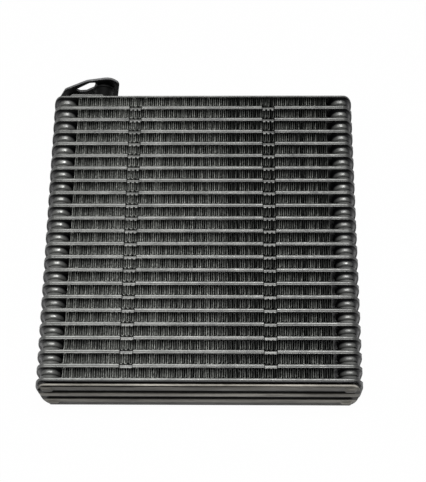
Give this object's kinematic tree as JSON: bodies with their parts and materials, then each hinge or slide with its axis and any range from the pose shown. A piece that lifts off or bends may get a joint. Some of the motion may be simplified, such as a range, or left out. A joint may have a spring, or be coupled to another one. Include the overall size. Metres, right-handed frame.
{
  "type": "evaporator core",
  "caption": "Flat evaporator core of stacked drawn-cup tubes and corrugated fins, with header cups at both sides and a black pipe flange at one end.",
  "frame": {"origin": "middle of the stack of tubes on its back face, where the core lies", "axes": "+X along the tubes to the right header, +Y along the stack towards the pipe flange, +Z through the fins to the front face"},
  "size_m": [0.2627, 0.2848, 0.06],
  "materials": {
    "tube_plate": "dull brazed sheet",
    "fin_strip": "coated fin sheet",
    "side_plate": "dull, warm grey sheet",
    "black_coat": "satin black coat"
  },
  "bodies": {
    "root": {"tube_01": "tube_plate", "tube_02": "tube_plate", "tube_03": "tube_plate", "tube_04": "tube_plate", "tube_05": "tube_plate", "tube_06": "tube_plate", "tube_07": "tube_plate", "tube_08": "tube_plate", "tube_09": "tube_plate", "tube_10": "tube_plate", "tube_11": "tube_plate", "tube_12": "tube_plate", "tube_13": "tube_plate", "tube_14": "tube_plate", "tube_15": "tube_plate", "tube_16": "tube_plate", "tube_17": "tube_plate", "tube_18": "tube_plate", "tube_19": "tube_plate", "tube_20": "tube_plate", "tube_21": "tube_plate", "end_tube_lower": "tube_plate", "end_sheet_upper": "tube_plate", "port_cover": "tube_plate", "fin_01": "fin_strip", "fin_02": "fin_strip", "fin_03": "fin_strip", "fin_04": "fin_strip", "fin_05": "fin_strip", "fin_06": "fin_strip", "fin_07": "fin_strip", "fin_08": "fin_strip", "fin_09": "fin_strip", "fin_10": "fin_strip", "fin_11": "fin_strip", "fin_12": "fin_strip", "fin_13": "fin_strip", "fin_14": "fin_strip", "fin_15": "fin_strip", "fin_16": "fin_strip", "fin_17": "fin_strip", "fin_18": "fin_strip", "fin_19": "fin_strip", "fin_20": "fin_strip", "fin_21": "fin_strip", "fin_22": "fin_strip", "side_plate_lower": "side_plate", "pipe_flange": "black_coat", "suction_pipe": "black_coat", "liquid_pipe": "black_coat"}
  },
  "joints": []
}
